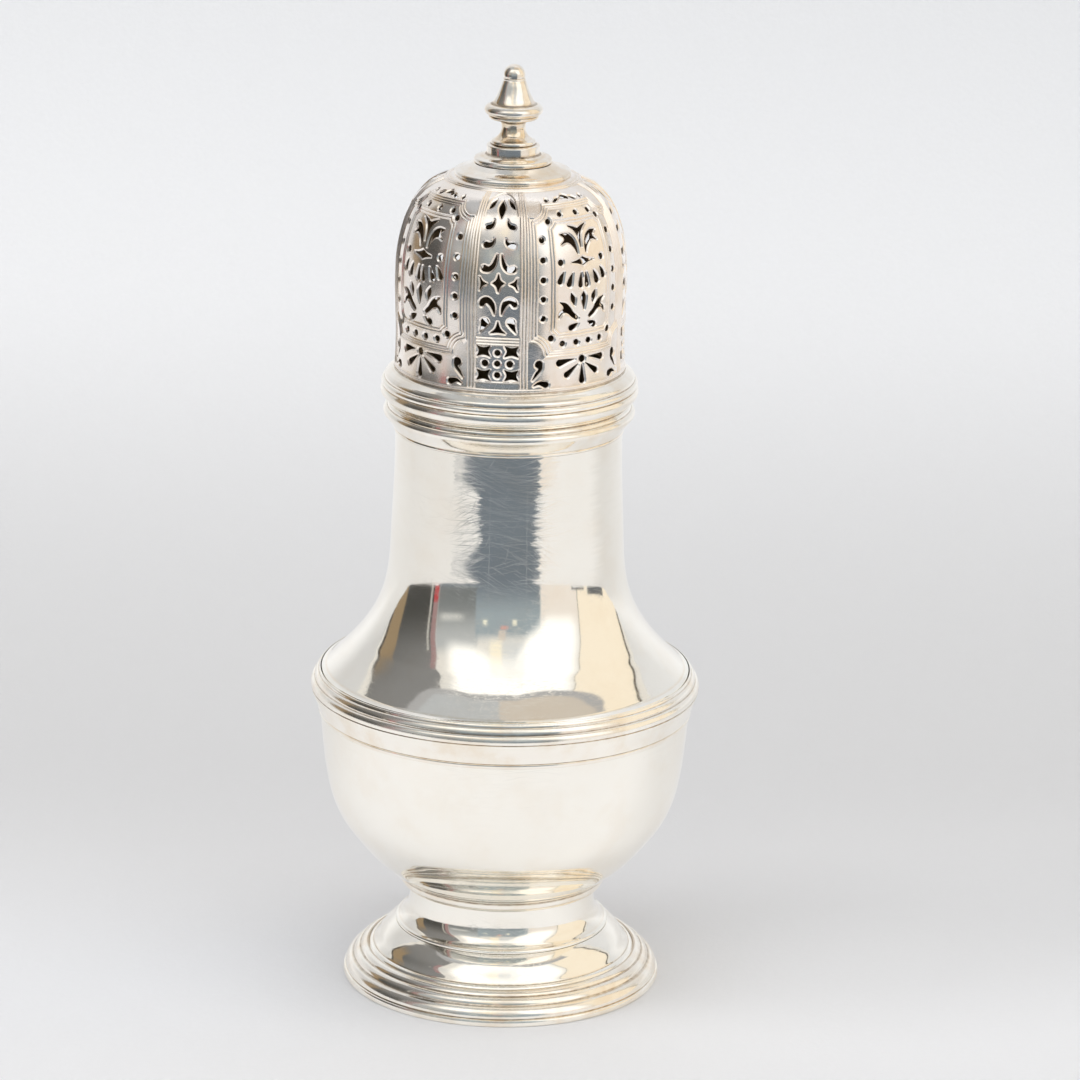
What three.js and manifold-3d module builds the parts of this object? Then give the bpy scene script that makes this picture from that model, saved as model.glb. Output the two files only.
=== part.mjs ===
// A silver sugar caster: a turned baluster body on a spread foot, with a lift-off pierced cover.
// Millimetres, +Z up. The origin is the middle of the foot's underside, and the front faces -Y.
import * as THREE from 'three'
import { mergeVertices } from 'three/addons/utils/BufferGeometryUtils.js'
import Module from 'manifold-3d'

const wasm = await Module()
wasm.setup()

// Radii of the outline, and how far each moulding stands out from the piece that it runs round
const FOOT_RADIUS = 29.9
const FOOT_RIM_WIDTH = 4.7
const STEM_RADIUS = 17.3
const STEP_WIDTH = 2.7
const COLLAR_WIDTH = 2.0
const BELLY_RADIUS = 34.5
const GIRDLE_WIDTH = 1.9
const THROAT_RADIUS = 21.0
const NECK_RIM_WIDTH = 2.2
const COVER_RIM_WIDTH = 2.8
const DOME_BULGE = 0.15
const CROWN_RADIUS = 10.6
const KNOP_RADIUS = 5.35
const BALL_RADIUS = 1.95

// How high each piece stands on the one below it
const FOOT_RIM_RISE = 5.6
const FOOT_RISE = 5.0
const STEM_RISE = 8.3
const COLLAR_RISE = 0.8
const BOWL_RISE = 37.3
const GIRDLE_BELOW_SEAM = 4.7
const GIRDLE_ABOVE_SEAM = 3.7
const NECK_RISE = 55.4
const NECK_RIM_RISE = 5.5
const COVER_RIM_RISE = 6.5
const DOME_RISE = 37.5
const PLATE_RISE = 0.6
const FINIAL_RISE = 18.0

// The seats that follow from them
const STEP_RADIUS = STEM_RADIUS + STEP_WIDTH
const DOME_RADIUS = THROAT_RADIUS + DOME_BULGE
const STEP_HEIGHT = FOOT_RIM_RISE + FOOT_RISE
const COLLAR_HEIGHT = STEP_HEIGHT + STEM_RISE
const BOWL_SEAT = COLLAR_HEIGHT + COLLAR_RISE
const SEAM_HEIGHT = BOWL_SEAT + BOWL_RISE
const SHOULDER_HEIGHT = SEAM_HEIGHT + GIRDLE_ABOVE_SEAM
const MOUTH_HEIGHT = SEAM_HEIGHT + NECK_RISE
const DOME_SEAT = MOUTH_HEIGHT + COVER_RIM_RISE
const CROWN_HEIGHT = DOME_SEAT + DOME_RISE
const FINIAL_SEAT = CROWN_HEIGHT + PLATE_RISE

// Thickness of the metal, and the clearances between pieces
const WALL = 0.8
const DOME_WALL = 0.8
const SOLDER_GAP = 0.12
const SLEEVE_PLAY = 0.25
const SLEEVE_DEPTH = 14
const SLEEVE_WALL = 0.8
const TENON_RADIUS = 1.5
const TENON_LENGTH = 2.5

// How finely the round pieces are divided
const STEPS = 24
const FINE_STEPS = 16
const CUT_TOLERANCE = 0.07

// Which way the narrow panel of the cover faces, measured round from the front, the size of the
// dome's skin that the piercing is drawn on, and how much wider than drawn the cuts are sawn
const PANEL_TURN = THREE.MathUtils.degToRad(-5.9)
const DRAWING_RADIUS = 21.15
const DRAWING_LENGTH = 49.66
const SAW_MARGIN = 0.06

const silver = new THREE.MeshStandardMaterial({ color: '#d9d4ca', roughness: 0.14, metalness: 1 })
const wornSilver = new THREE.MeshStandardMaterial({ color: '#cbc4b8', roughness: 0.22, metalness: 1 })
const innerSilver = new THREE.MeshStandardMaterial({ color: '#b9ae99', roughness: 0.35, metalness: 1 })

const caster = new THREE.Group()
const vessel = new THREE.Group()
const cover = new THREE.Group()
caster.add(vessel, cover)

function addPiece(group, name, geometry, material) {
  const mesh = new THREE.Mesh(geometry, material)
  mesh.name = name
  group.add(mesh)
}

// A closed outline of [radius, height] points, up the outside and down the inside, turned about Z.
function turned(outline, steps = STEPS, phase = 0) {
  const points = outline.map(([r, z]) => new THREE.Vector2(r, z))
  const onAxis = points[0].x === 0 && points[points.length - 1].x === 0
  if (!onAxis) points.push(points[0].clone())
  const geometry = new THREE.LatheGeometry(points, steps, phase)
  geometry.deleteAttribute('normal')
  geometry.deleteAttribute('uv')
  return mergeVertices(geometry.rotateX(Math.PI / 2), 1e-4)
}

// The same line moved sideways by a distance, each corner along the middle of its two sides' normals.
function offsetLine(line, distance) {
  return line.map(([r, z], i) => {
    const normals = []
    for (const j of [i - 1, i]) {
      if (j < 0 || j + 1 >= line.length) continue
      const along = new THREE.Vector2(line[j + 1][0] - line[j][0], line[j + 1][1] - line[j][1])
      normals.push(new THREE.Vector2(along.y, -along.x).normalize())
    }
    const mean = normals.reduce((sum, n) => sum.add(n), new THREE.Vector2()).normalize()
    const reach = distance / Math.max(mean.dot(normals[0].clone().normalize()), 0.5)
    return [r + mean.x * reach, z + mean.y * reach]
  })
}

// The inner face of a wall whose outer face is the given line, running back down it.
function insideOf(line) {
  return offsetLine(line, -WALL).reverse()
}

// A line between two corners, given as shares of the way from one to the other in radius and height.
function between([r0, z0], [r1, z1], shares) {
  return shares.map(([a, b]) => [r0 + (r1 - r0) * a, z0 + (z1 - z0) * b])
}

// FOOT

// The moulded wire that the foot stands on: an upright band, an ovolo and a bead.
function footRim() {
  const bore = FOOT_RADIUS - FOOT_RIM_WIDTH
  return turned(between([bore, 0], [FOOT_RADIUS, FOOT_RIM_RISE], [
    [1, 0], [1, 0.23], [0.915, 0.25], [0.87, 0.46], [0.7, 0.59], [0.575, 0.625], [0.45, 0.89], [0.17, 1],
    [0, 1], [0, 0]]))
}

// The raised foot: a skirt inside the wire, an ogee over it, and a shelf for the stem.
function footDome() {
  const skirt = FOOT_RADIUS - FOOT_RIM_WIDTH - SOLDER_GAP
  const shelf = STEM_RADIUS - WALL
  const hem = FOOT_RIM_RISE * 0.2
  const ogee = between([skirt, FOOT_RIM_RISE], [STEP_RADIUS + 0.15, STEP_HEIGHT], [
    [0, 0], [0.3, 0.24], [0.45, 0.5], [0.72, 0.78], [1, 1]])
  return turned([
    [skirt, hem], ...ogee, [shelf, STEP_HEIGHT], [shelf, STEP_HEIGHT - WALL],
    ...insideOf(ogee), [skirt - WALL, hem],
  ])
}

// The waisted stem, with a low step where it stands on the foot.
function footStem() {
  const flare = between([STEP_RADIUS - 0.2, STEP_HEIGHT + 0.8], [STEM_RADIUS, COLLAR_HEIGHT], [
    [0, 0], [0.45, 0.1], [0.8, 0.28], [1, 0.6]])
  return turned([
    [STEP_RADIUS, STEP_HEIGHT], ...flare, [STEM_RADIUS, BOWL_SEAT],
    [STEM_RADIUS - WALL, BOWL_SEAT], ...insideOf(flare.slice(1)), [STEP_RADIUS - 1.5, STEP_HEIGHT],
  ])
}

// BODY

// The outside of the bowl, from the edge of its seat up to the seam.
function bowlLine() {
  return between([STEM_RADIUS + 0.9, BOWL_SEAT], [BELLY_RADIUS, SEAM_HEIGHT], [
    [0, 0], [0.13, 0.04], [0.49, 0.18], [0.71, 0.3], [0.86, 0.44], [0.95, 0.62], [1, 0.85], [1, 1]])
}

// The collar under the bowl: a plain bead and a reed that follows the bowl outward.
function collar() {
  const [seatIn, seatOut] = bowlLine()
  const slope = (seatOut[1] - seatIn[1]) / (seatOut[0] - seatIn[0])
  const underBowl = (r) => [r, seatIn[1] + slope * (r - seatIn[0]) - SOLDER_GAP]
  const bore = STEM_RADIUS + SOLDER_GAP
  const edge = STEM_RADIUS + COLLAR_WIDTH
  return turned([
    [bore, COLLAR_HEIGHT], [edge, COLLAR_HEIGHT],
    [edge + 0.3, COLLAR_HEIGHT + 0.9], [edge + 0.6, COLLAR_HEIGHT + 1.1],
    underBowl(edge + 0.8), underBowl(seatIn[0]), [bore, BOWL_SEAT - SOLDER_GAP],
  ])
}

function bowl() {
  const outside = bowlLine()
  const inside = insideOf(outside.filter((point, i) => i !== 1))
  return turned([
    [0, BOWL_SEAT], ...outside, [BELLY_RADIUS - WALL, SEAM_HEIGHT], ...inside.slice(1),
    [0, BOWL_SEAT + WALL],
  ])
}

// The upper body: out of the girdle, in to a slender throat and up to the mouth.
function neckLine() {
  const shoulder = [BELLY_RADIUS, SHOULDER_HEIGHT]
  return [[BELLY_RADIUS, SEAM_HEIGHT], ...between(shoulder, [THROAT_RADIUS, MOUTH_HEIGHT], [
    [0, 0], [0.08, 0.012], [0.35, 0.075], [0.64, 0.172], [0.82, 0.272], [0.92, 0.4], [0.98, 0.66],
    [1, 0.86], [1, 1]])]
}

function neck() {
  const outside = neckLine()
  const inside = insideOf(outside.filter((point, i) => i !== 2 && i !== 8))
  return turned([...outside, ...inside])
}

// The applied girdle round the seam: reeds above, and a broad slanting band below.
function girdle() {
  const low = [BELLY_RADIUS + SOLDER_GAP, SEAM_HEIGHT - GIRDLE_BELOW_SEAM]
  return turned(between(low, [BELLY_RADIUS + GIRDLE_WIDTH, SHOULDER_HEIGHT], [
    [0, 0], [0.17, 0.02], [1, 0.6], [0.89, 0.7], [0.6, 0.73], [0.56, 0.85], [0.28, 0.94], [0, 1]]))
}

// The moulded rim round the mouth, with its widest bead over a slanting band.
function neckRim() {
  const low = [THROAT_RADIUS + SOLDER_GAP, MOUTH_HEIGHT - NECK_RIM_RISE]
  return turned(between(low, [THROAT_RADIUS + NECK_RIM_WIDTH, MOUTH_HEIGHT], [
    [0, 0], [0.9, 0.545], [1, 0.6], [0.95, 0.78], [0.66, 0.87], [0.66, 1], [0, 1]]))
}

// COVER

// The plain sleeve that slips into the mouth and keeps the cover on.
function coverSleeve() {
  const outside = THROAT_RADIUS - WALL - SLEEVE_PLAY
  const low = MOUTH_HEIGHT - SLEEVE_DEPTH
  const high = DOME_SEAT - 0.6
  return turned([
    [outside - 0.3, low], [outside, low + 0.6], [outside, high],
    [outside - SLEEVE_WALL, high], [outside - SLEEVE_WALL, low],
  ])
}

// The reeded rim of the cover, which rests on the mouth.
function coverRim() {
  const low = [THROAT_RADIUS - WALL - SLEEVE_PLAY + SOLDER_GAP, MOUTH_HEIGHT]
  return turned(between(low, [THROAT_RADIUS + COVER_RIM_WIDTH, DOME_SEAT], [
    [0, 0], [0.62, 0], [1, 0.25], [0.97, 0.46], [0.87, 0.49], [0.81, 0.72], [0.65, 0.91], [0.35, 1],
    [0, 1]]))
}

// The outside of the dome, from its seat on the rim to the hole for the finial's tenon.
function domeLine() {
  const hole = TENON_RADIUS + SOLDER_GAP
  return between([hole, DOME_SEAT], [DOME_RADIUS, CROWN_HEIGHT], [
    [1, 0], [0.987, 0.177], [1, 0.492], [0.985, 0.595], [0.938, 0.696], [0.89, 0.768],
    [0.818, 0.84], [0.706, 0.9], [0.465, 0.957], [0, 1]])
}

// A place on the dome, by where it is in the drawing of the piercing: u round it from a panel's
// middle and v up along its skin, with a distance out from the skin.
function onDome(u, v, out, middle) {
  const line = domeLine()
  const lengths = line.slice(1).map(([r, z], i) => Math.hypot(r - line[i][0], z - line[i][1]))
  let i = 0
  let left = (v / DRAWING_LENGTH) * lengths.reduce((sum, length) => sum + length)
  while (i < lengths.length - 1 && left > lengths[i]) left -= lengths[i++]
  const share = left / lengths[i]
  const [r0, z0] = line[i]
  const [r1, z1] = line[i + 1]
  const normal = new THREE.Vector2(z1 - z0, r0 - r1).normalize()
  const r = r0 + (r1 - r0) * share + normal.x * out
  const z = z0 + (z1 - z0) * share + normal.y * out
  const angle = middle + u / DRAWING_RADIUS
  return [r * Math.sin(angle), -r * Math.cos(angle), z]
}

// Shapes of the piercing, as rings of [u, v] points. A stroke follows points [u, v, half width].
function stroke(path) {
  const left = []
  const right = []
  path.forEach(([u, v, half], i) => {
    const a = path[Math.max(i - 1, 0)]
    const b = path[Math.min(i + 1, path.length - 1)]
    const side = new THREE.Vector2(a[1] - b[1], b[0] - a[0]).setLength(half + SAW_MARGIN)
    if (half) {
      left.push([u + side.x, v + side.y])
      right.unshift([u - side.x, v - side.y])
    } else left.push([u, v])
  })
  return [...left, ...right]
}

function round(u, v, radius, sides = 5) {
  return Array.from({ length: sides }, (_, i) => {
    const angle = (2 * Math.PI * (i + 0.5)) / sides
    return [u + (radius + SAW_MARGIN) * Math.cos(angle), v + (radius + SAW_MARGIN) * Math.sin(angle)]
  })
}

// A star of four points with hollow sides: upright, or with its points in the corners.
function star(u, v, wide, high, waist, inCorners) {
  const tips = inCorners ? [[wide, high], [-wide, high], [-wide, -high], [wide, -high]]
    : [[wide, 0], [0, high], [-wide, 0], [0, -high]]
  return tips.flatMap(([a, b], i) => {
    const [c, d] = tips[(i + 1) % 4]
    return [[u + a, v + b], [u + ((a + c) / 2) * waist, v + ((b + d) / 2) * waist]]
  })
}

const bothSides = (path) => [stroke(path), stroke(path.map(([u, v, half]) => [-u, v, half]))]
const bothRounds = (u, v, radius) => [round(u, v, radius), round(-u, v, radius)]
const mirrored = (ring) => [ring, ring.map(([u, v]) => [-u, v])]

// The fan of drops at the foot of a wide panel, with scrolls beside it.
function fanHoles() {
  return [
    round(0, 5.65, 0.55),
    stroke([[0, 4.5, 0], [0, 1.75, 0.5]]),
    ...bothSides([[0.95, 4.75, 0], [3.4, 3.0, 0.5]]),
    ...bothSides([[1.75, 5.8, 0], [4.8, 5.3, 0.55]]),
    ...bothSides([[10.1, 2.5, 0], [8.7, 4.3, 0.28], [8.9, 5.3, 0.6]]),
    ...bothSides([[9.9, 1.4, 0], [8.8, 1.85, 0.3], [7.6, 1.55, 0.5]]),
  ]
}

// The round holes that follow the border of a wide panel.
function borderHoles() {
  return [
    ...bothRounds(1.45, 8.9, 0.48), ...bothRounds(4.4, 8.9, 0.48), ...bothRounds(6.7, 10.1, 0.5),
    ...[13.8, 17.4, 20.9, 24.5, 28.2].flatMap((v) => bothRounds(8.35, v, 0.48)),
    ...bothRounds(6.6, 31.5, 0.48), ...[-3.4, 0.9, 4.8].map((u) => round(u, 32.8, 0.45)),
  ]
}

// The leaves and scrolls inside a wide panel: three heads of foliage, a lozenge and two wings.
function plumeHoles() {
  const forks = [
    [1.0, 25.2], [2.6, 27.3], [4.3, 27.1], [3.5, 28.1], [4.4, 28.95], [3.2, 29.05], [2.2, 28.6], [1.2, 27.2]]
  const wings = [
    [5.1, 16.6], [3.9, 16.3], [3.0, 15.5], [1.3, 13.5], [1.6, 13.15], [3.5, 14.5], [5.3, 13.8], [4.35, 15.3]]
  return [
    [[-2.2, 30.4], [-0.4, 28.6], [0, 26.3], [0.4, 28.6], [2.2, 30.4], [0, 29.75]],
    ...mirrored(forks),
    [[2.45, 23.7], [1.0, 24.0], [0, 24.45], [-1.0, 24.0], [-2.45, 23.7], [-1.0, 23.4], [0, 23.0], [1.0, 23.4]],
    ...bothRounds(4.8, 23.85, 0.5),
    ...bothSides([[4.3, 22.1, 0], [5.1, 20.4, 0.45]]),
    ...bothSides([[2.5, 21.7, 0], [3.2, 19.8, 0.48]]),
    ...bothSides([[0.55, 21.6, 0], [0.7, 19.4, 0.42]]),
    stroke([[0, 18.1, 0], [0, 17.1, 0.48], [0, 14.9, 0]]),
    ...bothSides([[2.8, 18.1, 0], [2.4, 17.0, 0.42], [2.15, 15.9, 0]]),
    ...mirrored(wings),
    ...bothSides([[1.25, 12.4, 0], [2.6, 11.7, 0.45]]),
    stroke([[-1.2, 36.2, 0], [0, 36.7, 0.4], [1.3, 36.3, 0.3]]),
    ...bothSides([[1.9, 36.4, 0], [2.7, 36.0, 0.28], [3.6, 35.6, 0]]),
  ]
}

// The column of leaves, scrolls and stars in a narrow panel, above its square of rosettes.
function columnHoles() {
  return [
    stroke([[0, 36.0, 0], [0, 34.2, 0.75], [0, 32.3, 0]]),
    ...bothSides([[3.1, 34.1, 0], [2.4, 35.1, 0.42], [1.6, 36.4, 0]]),
    ...bothSides([[1.5, 31.8, 0], [2.2, 30.4, 0.38]]),
    ...bothSides([[1.2, 27.65, 0], [2.5, 27.25, 0.45]]),
    ...bothSides([[0.45, 25.6, 0], [1.1, 23.6, 0.3], [2.65, 22.95, 0.5]]),
    star(0, 20.4, 1.05, 1.6, 0.7, false),
    ...mirrored([[3.45, 21.35], [2.15, 20.25], [3.45, 19.15], [3.25, 20.25]]),
    ...bothSides([[0.65, 14.7, 0], [1.15, 16.4, 0.35], [2.1, 17.2, 0.5], [3.0, 16.5, 0.42]]),
    ...bothSides([[3.3, 11.3, 0], [2.4, 13.2, 0.6]]),
    [[-1.3, 11.15], [1.3, 11.15], [0, 13.3]],
    ...bothRounds(2.3, 5.5, 0.55), ...[3.4, 5.5, 7.5].map((v) => round(0, v, 0.5)),
    ...[3.35, 7.75].flatMap((v) => mirrored(star(2.6, v, 1.25, 1.0, 0.7, true))),
  ]
}

// One closed prism through the wall for each ring of points, all in one geometry.
function prisms(rings, middles) {
  const past = 0.5
  const positions = []
  const faces = []
  for (const middle of middles) {
    for (const ring of rings) {
      const clockwise = THREE.ShapeUtils.isClockWise(ring.map(([u, v]) => new THREE.Vector2(u, v)))
      const loop = clockwise ? [...ring].reverse() : ring
      const first = positions.length / 3
      const n = loop.length
      for (const out of [past, -DOME_WALL - past]) {
        for (const [u, v] of loop) positions.push(...onDome(u, v, out, middle))
      }
      const flat = loop.map(([u, v]) => new THREE.Vector2(u, v))
      for (const [a, b, c] of THREE.ShapeUtils.triangulateShape(flat, [])) {
        faces.push(first + a, first + b, first + c, first + n + a, first + n + c, first + n + b)
      }
      for (let i = 0; i < n; i++) {
        const j = (i + 1) % n
        faces.push(first + i, first + n + i, first + j, first + j, first + n + i, first + n + j)
      }
    }
  }
  return [positions, faces]
}

function toSolid(geometry) {
  const mesh = new wasm.Mesh({
    numProp: 3,
    vertProperties: new Float32Array(geometry.attributes.position.array),
    triVerts: new Uint32Array(geometry.index.array),
  })
  return new wasm.Manifold(mesh)
}

function toGeometry(solid) {
  const { vertProperties, triVerts } = solid.getMesh()
  const geometry = new THREE.BufferGeometry()
  geometry.setAttribute('position', new THREE.BufferAttribute(new Float32Array(vertProperties), 3))
  geometry.setIndex(new THREE.BufferAttribute(new Uint32Array(triVerts), 1))
  return geometry
}

// The raised dome, saw-pierced with four wide and four narrow panels in turn.
function piercedDome() {
  const outside = domeLine()
  const inside = offsetLine(outside, -DOME_WALL)
  inside[0] = [inside[0][0], DOME_SEAT]
  inside[inside.length - 1] = [outside[outside.length - 1][0], inside[inside.length - 1][1]]
  const shell = toSolid(turned([...outside, ...inside.reverse()], STEPS, PANEL_TURN))
  const quarter = [0, 1, 2, 3].map((k) => PANEL_TURN + (k * Math.PI) / 2)
  const wide = [...fanHoles(), ...borderHoles(), ...plumeHoles()]
  let dome = shell
  for (const [rings, middles] of [[columnHoles(), quarter], [wide, quarter.map((a) => a + Math.PI / 4)]]) {
    const [positions, faces] = prisms(rings, middles)
    const cutters = new THREE.BufferGeometry()
    cutters.setAttribute('position', new THREE.BufferAttribute(new Float32Array(positions), 3))
    cutters.setIndex(faces)
    dome = dome.subtract(toSolid(cutters))
  }
  return toGeometry(dome.asOriginal().simplify(CUT_TOLERANCE))
}

// The plain calotte over the crown of the dome, with a moulded edge, seated along the dome's skin.
function crownPlate() {
  const [low, high] = offsetLine(domeLine().slice(-2), SOLDER_GAP)
  const onSkin = (r) => [r, low[1] + ((r - low[0]) * (high[1] - low[1])) / (high[0] - low[0])]
  const bore = TENON_RADIUS + SOLDER_GAP
  const edge = onSkin(CROWN_RADIUS)
  return turned([edge, ...between([KNOP_RADIUS + 1.2, edge[1]], [CROWN_RADIUS, FINIAL_SEAT], [
    [1, 0.34], [0.8, 0.53], [0.65, 0.48], [0, 1]]), [bore, FINIAL_SEAT], onSkin(bore),
  ], STEPS, PANEL_TURN)
}

// The cast finial: a stepped base, a waisted stem, a bell-shaped knop and a ball, on a tenon.
function finial() {
  const at = (share) => FINIAL_SEAT + FINIAL_RISE * share
  const tip = FINIAL_SEAT + FINIAL_RISE
  const ball = tip - BALL_RADIUS
  const waist = [KNOP_RADIUS * 0.41, at(0.356)]
  const knop = [KNOP_RADIUS, at(0.54)]
  return turned([
    [0, FINIAL_SEAT - TENON_LENGTH], [TENON_RADIUS, FINIAL_SEAT - TENON_LENGTH],
    [TENON_RADIUS, FINIAL_SEAT], [KNOP_RADIUS + 1.5, FINIAL_SEAT],
    [KNOP_RADIUS + 1.75, at(0.028)], [KNOP_RADIUS + 1.5, at(0.05)], [KNOP_RADIUS - 0.4, at(0.09)],
    [KNOP_RADIUS - 0.6, at(0.178)], [KNOP_RADIUS - 1.3, at(0.194)], [KNOP_RADIUS - 1.35, at(0.222)],
    [waist[0] + 0.4, at(0.29)], waist,
    ...between(waist, knop, [[0.05, 0.3], [0.65, 0.52], [0.93, 0.76], [1, 1]]),
    ...between(knop, [BALL_RADIUS * 0.95, ball - BALL_RADIUS / 2], [[0.12, 0.17], [0.75, 0.6], [1, 1]]),
    [BALL_RADIUS, ball], [BALL_RADIUS * 0.75, ball + BALL_RADIUS * 0.7], [0, tip],
  ], FINE_STEPS)
}

addPiece(vessel, 'foot_rim', footRim(), wornSilver)
addPiece(vessel, 'foot_dome', footDome(), silver)
addPiece(vessel, 'foot_stem', footStem(), silver)
addPiece(vessel, 'collar', collar(), wornSilver)
addPiece(vessel, 'bowl', bowl(), silver)
addPiece(vessel, 'girdle', girdle(), wornSilver)
addPiece(vessel, 'neck', neck(), silver)
addPiece(vessel, 'neck_rim', neckRim(), wornSilver)
addPiece(cover, 'cover_sleeve', coverSleeve(), innerSilver)
addPiece(cover, 'cover_rim', coverRim(), wornSilver)
addPiece(cover, 'pierced_dome', piercedDome(), silver)
addPiece(cover, 'crown_plate', crownPlate(), silver)
addPiece(cover, 'finial', finial(), silver)

export default caster
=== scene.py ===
"""A silver sugar caster: turned body and foot, with a lift-off cover pierced in strapwork panels."""

import math

import bmesh
import bpy
import numpy as np
from mathutils import Matrix, Vector, noise
from mathutils.geometry import delaunay_2d_cdt


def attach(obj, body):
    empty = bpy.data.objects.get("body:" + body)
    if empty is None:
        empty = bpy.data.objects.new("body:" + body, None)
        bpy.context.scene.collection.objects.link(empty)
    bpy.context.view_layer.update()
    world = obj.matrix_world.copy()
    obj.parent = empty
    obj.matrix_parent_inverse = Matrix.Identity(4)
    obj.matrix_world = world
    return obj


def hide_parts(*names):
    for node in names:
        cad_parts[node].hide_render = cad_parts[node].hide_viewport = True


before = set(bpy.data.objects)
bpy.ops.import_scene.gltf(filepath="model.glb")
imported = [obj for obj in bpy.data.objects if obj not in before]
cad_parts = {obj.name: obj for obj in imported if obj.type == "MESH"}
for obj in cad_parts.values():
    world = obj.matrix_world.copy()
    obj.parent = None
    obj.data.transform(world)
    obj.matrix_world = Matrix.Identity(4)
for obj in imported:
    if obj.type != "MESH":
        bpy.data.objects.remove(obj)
bpy.context.scene.view_settings.view_transform = "Standard"
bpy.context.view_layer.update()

MM = 0.001


# OUTLINES
# An outline is a list of [radius, height] points in millimetres, up the outside of a piece.

BEAD_FULLNESS = 0.8


def flowing(points, per=7):
    """A smooth line through the points."""
    pts = [Vector(p) for p in points]
    pts = [2 * pts[0] - pts[1]] + pts + [2 * pts[-1] - pts[-2]]
    line = []
    for i in range(1, len(pts) - 2):
        a, b, c, d = pts[i - 1:i + 3]
        ta = (c - a) * (c - b).length / max((c - a).length, 1e-9)
        tb = (d - b) * (c - b).length / max((d - b).length, 1e-9)
        for k in range(per):
            t = k / per
            h = (2 * t**3 - 3 * t**2 + 1, t**3 - 2 * t**2 + t, 3 * t**2 - 2 * t**3, t**3 - t**2)
            line.append(b * h[0] + ta * h[1] + c * h[2] + tb * h[3])
    line.append(pts[-2])
    return [tuple(p) for p in line]


def bead(start, end, swell, parts=8):
    """A bead from start to end that swells out by the given amount, or a hollow where it is negative."""
    a, b = Vector(start), Vector(end)
    side = Vector((b.y - a.y, a.x - b.x)).normalized()
    line = []
    for k in range(parts + 1):
        t = k / parts
        line.append(tuple(a.lerp(b, t) + side * swell * math.sin(math.pi * t) ** BEAD_FULLNESS))
    return line


def joined(*lines):
    """Lines one after another, without the points that fall on the one before."""
    out = []
    for line in lines:
        for p in line:
            if not out or (Vector(p) - Vector(out[-1])).length > 0.02:
                out.append(tuple(p))
    return out


def inner_face(line, wall):
    """The inside of a wall, running back along the line."""
    back = []
    for i, p in enumerate(line):
        along = Vector(line[min(i + 1, len(line) - 1)]) - Vector(line[max(i - 1, 0)])
        side = Vector((-along.y, along.x)).normalized()
        back.append((max(p[0] + side.x * wall, 0), p[1] + side.y * wall))
    return back[::-1]


# TURNED PIECES
# Lengths are in millimetres. Relief is how far an edge stands out of the line between its neighbours; near a
# join it is set to the deepest groove, which paints shade there.

TURN_STEPS = 224
RELIEF_REACH = 0.55
FULL_RELIEF = 0.14
# how far the painted shade reaches round a join, in millimetres
JOIN_SHADE_REACH = 0.21
WIDEST_INSIDE = 34
INSIDE_SHADE_AND_TARNISH = 0.5
UPRIGHT_SHARPNESS = 12


def relief_of(outline, closed):
    """How far each point stands out of its neighbourhood, from -1 in a groove to 1 on an edge."""
    pts = [Vector(p) for p in outline]
    n = len(pts)
    found = []
    for i, p in enumerate(pts):
        ends = []
        for way in (-1, 1):
            left, j = RELIEF_REACH, i
            here = p
            while left > 0:
                k = j + way
                if not closed and not 0 <= k < n:
                    break
                step = (pts[k % n] - here).length
                if step >= left:
                    here = here + (pts[k % n] - here) * left / step
                    break
                left -= step
                here, j = pts[k % n], k
            ends.append(here)
        chord = ends[1] - ends[0]
        if chord.length < 1e-6:
            found.append(0.0)
            continue
        side = Vector((chord.y, -chord.x)).normalized()
        found.append(max(-1.0, min(1.0, (p - (ends[0] + ends[1]) / 2).dot(side) / FULL_RELIEF)))
    return found


def shown(name, data):
    """A new object in the scene."""
    thing = bpy.data.objects.new(name, data)
    bpy.context.scene.collection.objects.link(thing)
    return thing


def mesh_of(name, bm, material):
    """The bmesh as a smooth mesh with its material."""
    mesh = bpy.data.meshes.new(name)
    bm.to_mesh(mesh)
    bm.free()
    for face in mesh.polygons:
        face.use_smooth = True
    mesh.materials.append(material)
    return mesh


def finished(name, bm, body, node, material, crease=32):
    """Turns a bmesh into a piece of the caster that stands for a node and rides on its body."""
    mesh = mesh_of(name, bm, material)
    mesh.set_sharp_from_angle(angle=math.radians(crease))
    piece = shown(name, mesh)
    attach(piece, body)
    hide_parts(node)


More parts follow.
